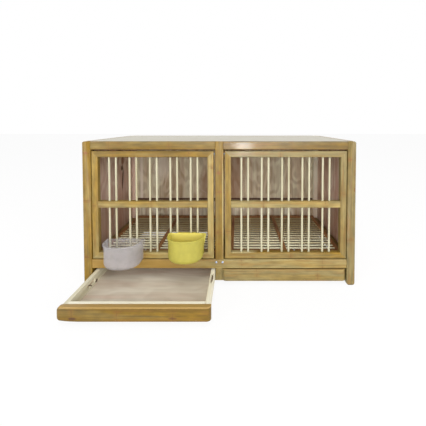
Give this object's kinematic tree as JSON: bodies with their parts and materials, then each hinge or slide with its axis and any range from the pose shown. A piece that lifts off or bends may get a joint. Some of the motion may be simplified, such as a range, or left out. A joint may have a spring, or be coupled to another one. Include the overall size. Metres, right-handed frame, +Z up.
{
  "type": "pigeon breeding cage",
  "caption": "Bamboo pigeon breeding cage with a partition, top-hung rod doors, pull-out droppings drawers, lift-out stick floors and plastic cups held on the door rods.",
  "frame": {"origin": "bottom centre of the whole object's box at rest, with the left drawer open as pictured", "axes": "+X to the viewer's right along the front, +Y from the front to the back, +Z up"},
  "size_m": [0.8, 0.575, 0.425],
  "materials": {
    "bamboo": "satin varnished laminated bamboo with a fine straight grain",
    "pale_wood": "smooth pale wood, unvarnished",
    "plywood": "thin plywood with a soft streaky grain",
    "brown_wood": "dark brown stained wood",
    "steel": "bright zinc-plated steel",
    "clear_plastic": "frosted translucent moulded plastic",
    "yellow_plastic": "smooth yellow moulded plastic"
  },
  "bodies": {
    "cage": {"front_left_post": "bamboo", "front_right_post": "bamboo", "front_center_post": "bamboo", "back_left_post": "bamboo", "back_right_post": "bamboo", "back_center_post": "bamboo", "top_front_left_rail": "bamboo", "top_front_right_rail": "bamboo", "top_back_rail": "bamboo", "top_left_rail": "bamboo", "top_right_rail": "bamboo", "lower_front_rail": "bamboo", "lower_back_rail": "bamboo", "lower_left_rail": "bamboo", "lower_right_rail": "bamboo", "top_panel": "plywood", "left_panel": "plywood", "right_panel": "plywood", "back_upper_board": "plywood", "back_lower_board": "plywood", "partition": "plywood", "left_runner": "pale_wood", "right_runner": "pale_wood", "center_runner": "pale_wood", "front_ledges": "bamboo", "back_ledges": "bamboo", "rail_screws": "steel", "door_stops": "steel", "hinge_pins": "steel"},
    "left_door": {"left_door_outer_stile": "bamboo", "left_door_inner_stile": "bamboo", "left_door_top_bar": "bamboo", "left_door_middle_bar": "bamboo", "left_door_bottom_bar": "bamboo", "left_door_rods": "pale_wood"},
    "right_door": {"right_door_outer_stile": "bamboo", "right_door_inner_stile": "bamboo", "right_door_top_bar": "bamboo", "right_door_middle_bar": "bamboo", "right_door_bottom_bar": "bamboo", "right_door_rods": "pale_wood"},
    "left_drawer": {"left_drawer_front": "bamboo", "left_drawer_lip": "pale_wood", "left_drawer_outer_wall": "pale_wood", "left_drawer_inner_wall": "pale_wood", "left_drawer_back_wall": "pale_wood", "left_drawer_base": "plywood"},
    "right_drawer": {"right_drawer_front": "bamboo", "right_drawer_lip": "pale_wood", "right_drawer_outer_wall": "pale_wood", "right_drawer_inner_wall": "pale_wood", "right_drawer_back_wall": "pale_wood", "right_drawer_base": "plywood"},
    "left_floor": {"left_floor_bars": "brown_wood", "left_floor_sticks": "pale_wood"},
    "right_floor": {"right_floor_bars": "brown_wood", "right_floor_sticks": "pale_wood"},
    "water_cup": {"water_cup": "clear_plastic"},
    "feed_cup": {"feed_cup": "yellow_plastic"}
  },
  "joints": [
    {"name": "left_door_hinge", "type": "hinge", "parent": "cage", "child": "left_door", "pos_m": [-0.19475, -0.1035, 0.3875], "axis": [-1, 0, 0], "range_deg": [0, 105]},
    {"name": "right_door_hinge", "type": "hinge", "parent": "cage", "child": "right_door", "pos_m": [0.19475, -0.1035, 0.3875], "axis": [-1, 0, 0], "range_deg": [0, 105]},
    {"name": "left_drawer_slide", "type": "slide", "parent": "cage", "child": "left_drawer", "axis": [0, -1, 0], "range_m": [-0.175, 0.155]},
    {"name": "right_drawer_slide", "type": "slide", "parent": "cage", "child": "right_drawer", "axis": [0, -1, 0], "range_m": [0, 0.33]},
    {"name": "left_floor_lift", "type": "slide", "parent": "cage", "child": "left_floor", "axis": [0, 0, 1], "range_m": [0, 0.1]},
    {"name": "right_floor_lift", "type": "slide", "parent": "cage", "child": "right_floor", "axis": [0, 0, 1], "range_m": [0, 0.1]},
    {"name": "water_cup_slide", "type": "slide", "parent": "left_door", "child": "water_cup", "axis": [0, 0, 1], "range_m": [-0.0235, 0.0935]},
    {"name": "feed_cup_slide", "type": "slide", "parent": "left_door", "child": "feed_cup", "axis": [0, 0, 1], "range_m": [-0.04, 0.077]}
  ]
}
